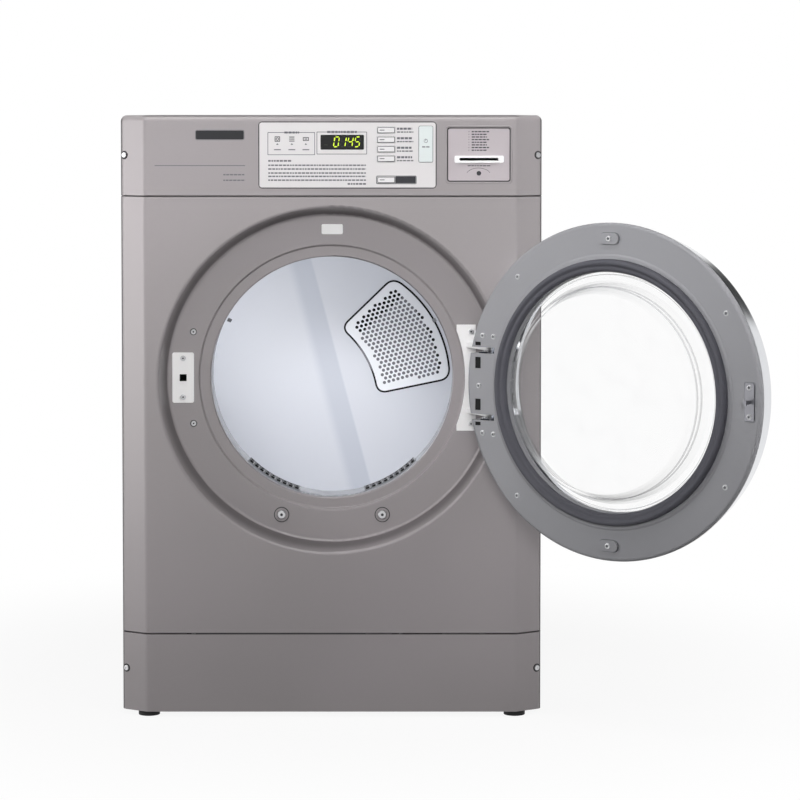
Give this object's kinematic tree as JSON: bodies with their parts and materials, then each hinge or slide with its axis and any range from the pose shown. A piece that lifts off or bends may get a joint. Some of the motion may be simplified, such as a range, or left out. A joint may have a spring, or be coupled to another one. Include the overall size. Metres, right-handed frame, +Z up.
{
  "type": "gas tumble dryer",
  "caption": "Front-loading gas tumble dryer with a round swing door, belt-driven drum, blower, burner, lint screen and push-button control panel with a card slot.",
  "frame": {"origin": "on the floor, at the middle of the four feet", "axes": "+X to the right seen from the front, +Y to the back along the drum's axis, +Z up"},
  "size_m": [1.0182, 1.0814, 0.983],
  "materials": {
    "cabinet_paint": "satin warm grey paint",
    "zinc_steel": "dull zinc-coated sheet",
    "white_enamel": "smooth white baked enamel",
    "white_plate": "white paint",
    "motor_paint": "dark grey paint",
    "bare_steel": "bright steel",
    "screw_steel": "zinc-plated",
    "arm_steel": "polished steel",
    "rim_chrome": "polished chrome",
    "duct_steel": "dull metal",
    "valve_alloy": "cast alloy",
    "pipe_iron": "black pipe",
    "liner_plastic": "satin grey moulding",
    "white_plastic": "white moulding",
    "lifter_plastic": "white moulding",
    "grey_plastic": "grey moulding",
    "filter_plastic": "light grey screen and frame",
    "pale_button": "pale cyan moulding",
    "board_green": "green board",
    "display_black": "dark clear window",
    "clear_glass": "clear glass",
    "clear_plastic": "clear moulding",
    "door_rubber": "dark grey",
    "black_rubber": "black",
    "felt": "grey felt"
  },
  "bodies": {
    "cabinet": {"base_pan": "zinc_steel", "left_side_panel": "cabinet_paint", "right_side_panel": "cabinet_paint", "rear_panel": "zinc_steel", "top_cover": "cabinet_paint", "front_panel": "cabinet_paint", "kick_panel": "cabinet_paint", "control_fascia": "cabinet_paint", "control_insert": "white_plastic", "display_window": "display_black", "control_board": "board_green", "card_reader_plate": "liner_plastic", "card_slot_bezel": "white_plastic", "cabinet_screws": "screw_steel", "strike_plate": "white_plate", "hinge_bracket": "arm_steel", "front_tub": "white_enamel", "drum_seals": "felt", "roller_shafts": "bare_steel", "drum_belt": "black_rubber", "motor": "motor_paint", "blower_housing": "grey_plastic", "exhaust_duct": "duct_steel", "burner_tube": "duct_steel", "gas_valve": "valve_alloy", "gas_pipe": "pipe_iron", "heat_duct": "zinc_steel", "rear_tub": "white_enamel", "inlet_grille": "white_enamel"},
    "door": {"hinge_pins": "bare_steel", "door_liner": "liner_plastic", "door_outer_frame": "rim_chrome", "door_trim_ring": "rim_chrome", "door_window": "clear_plastic", "door_glass": "clear_glass", "door_gasket": "door_rubber", "door_latch_hook": "arm_steel", "door_handle": "grey_plastic", "door_screws": "screw_steel"},
    "drum_body": {"drum": "white_enamel", "drum_lifters": "lifter_plastic"},
    "rotor": {"rotor_shaft": "bare_steel", "blower_wheel": "grey_plastic"},
    "idler_arm_body": {"idler_arm": "zinc_steel"},
    "idler_pulley_body": {"idler_pulley": "grey_plastic"},
    "lint_filter_body": {"lint_filter": "filter_plastic"},
    "front_left_roller_body": {"front_left_roller": "black_rubber"},
    "front_right_roller_body": {"front_right_roller": "black_rubber"},
    "rear_left_roller_body": {"rear_left_roller": "black_rubber"},
    "rear_right_roller_body": {"rear_right_roller": "black_rubber"},
    "program_button_1_body": {"program_button_1": "grey_plastic"},
    "program_button_2_body": {"program_button_2": "grey_plastic"},
    "program_button_3_body": {"program_button_3": "grey_plastic"},
    "program_button_4_body": {"program_button_4": "grey_plastic"},
    "pause_button_body": {"pause_button": "grey_plastic"},
    "start_button_body": {"start_button": "pale_button"},
    "front_left_foot_body": {"front_left_foot": "black_rubber"},
    "front_right_foot_body": {"front_right_foot": "black_rubber"},
    "rear_left_foot_body": {"rear_left_foot": "black_rubber"},
    "rear_right_foot_body": {"rear_right_foot": "black_rubber"}
  },
  "joints": [
    {"name": "door_swing", "type": "hinge", "parent": "cabinet", "child": "door", "pos_m": [0.255, -0.352, 0.552], "axis": [0, 0, 1], "range_deg": [-145, 0]},
    {"name": "drum_spin", "type": "hinge", "parent": "cabinet", "child": "drum_body", "pos_m": [0, 0, 0.552], "axis": [0, 1, 0], "continuous": true},
    {"name": "front_left_roller_spin", "type": "hinge", "parent": "cabinet", "child": "front_left_roller_body", "pos_m": [-0.18722, -0.183, 0.25238], "axis": [0, 1, 0], "continuous": true},
    {"name": "front_right_roller_spin", "type": "hinge", "parent": "cabinet", "child": "front_right_roller_body", "pos_m": [0.18722, -0.183, 0.25238], "axis": [0, 1, 0], "continuous": true},
    {"name": "rear_left_roller_spin", "type": "hinge", "parent": "cabinet", "child": "rear_left_roller_body", "pos_m": [-0.18722, 0.315, 0.25238], "axis": [0, 1, 0], "continuous": true},
    {"name": "rear_right_roller_spin", "type": "hinge", "parent": "cabinet", "child": "rear_right_roller_body", "pos_m": [0.18722, 0.315, 0.25238], "axis": [0, 1, 0], "continuous": true},
    {"name": "rotor_spin", "type": "hinge", "parent": "cabinet", "child": "rotor", "pos_m": [-0.13, 0, 0.12], "axis": [0, 1, 0], "continuous": true},
    {"name": "idler_swing", "type": "hinge", "parent": "cabinet", "child": "idler_arm_body", "pos_m": [-0.255, 0.088, 0.0398], "axis": [0, 1, 0], "range_deg": [-12, 0], "stiffness_Nm_per_rad": 6, "springref_deg": 28.65},
    {"name": "idler_pulley_spin", "type": "hinge", "parent": "idler_arm_body", "child": "idler_pulley_body", "pos_m": [-0.21471, 0.078, 0.19583], "axis": [0, 1, 0], "continuous": true},
    {"name": "program_button_1_press", "type": "slide", "parent": "cabinet", "child": "program_button_1_body", "axis": [0, 1, 0], "range_m": [0, 0.001], "stiffness_N_per_m": 400, "springref_m": -0.001},
    {"name": "program_button_2_press", "type": "slide", "parent": "cabinet", "child": "program_button_2_body", "axis": [0, 1, 0], "range_m": [0, 0.001], "stiffness_N_per_m": 400, "springref_m": -0.001},
    {"name": "program_button_3_press", "type": "slide", "parent": "cabinet", "child": "program_button_3_body", "axis": [0, 1, 0], "range_m": [0, 0.001], "stiffness_N_per_m": 400, "springref_m": -0.001},
    {"name": "program_button_4_press", "type": "slide", "parent": "cabinet", "child": "program_button_4_body", "axis": [0, 1, 0], "range_m": [0, 0.001], "stiffness_N_per_m": 400, "springref_m": -0.001},
    {"name": "pause_button_press", "type": "slide", "parent": "cabinet", "child": "pause_button_body", "axis": [0, 1, 0], "range_m": [0, 0.001], "stiffness_N_per_m": 400, "springref_m": -0.001},
    {"name": "start_button_press", "type": "slide", "parent": "cabinet", "child": "start_button_body", "axis": [0, 1, 0], "range_m": [0, 0.001], "stiffness_N_per_m": 400, "springref_m": -0.001},
    {"name": "lint_filter_lift", "type": "slide", "parent": "cabinet", "child": "lint_filter_body", "axis": [0, 0, 1], "range_m": [0, 0.18]},
    {"name": "front_left_foot_screw", "type": "slide", "parent": "cabinet", "child": "front_left_foot_body", "axis": [0, 0, -1], "range_m": [0, 0.02]},
    {"name": "front_right_foot_screw", "type": "slide", "parent": "cabinet", "child": "front_right_foot_body", "axis": [0, 0, -1], "range_m": [0, 0.02]},
    {"name": "rear_left_foot_screw", "type": "slide", "parent": "cabinet", "child": "rear_left_foot_body", "axis": [0, 0, -1], "range_m": [0, 0.02]},
    {"name": "rear_right_foot_screw", "type": "slide", "parent": "cabinet", "child": "rear_right_foot_body", "axis": [0, 0, -1], "range_m": [0, 0.02]}
  ],
  "couplings": [
    {"joint": "front_left_roller_spin", "follows": "drum_spin", "ratio": -9.0857},
    {"joint": "front_right_roller_spin", "follows": "drum_spin", "ratio": -9.0857},
    {"joint": "rear_left_roller_spin", "follows": "drum_spin", "ratio": -9.0857},
    {"joint": "rear_right_roller_spin", "follows": "drum_spin", "ratio": -9.0857},
    {"joint": "rotor_spin", "follows": "drum_spin", "ratio": 22.714},
    {"joint": "idler_pulley_spin", "follows": "drum_spin", "ratio": -12.231}
  ]
}
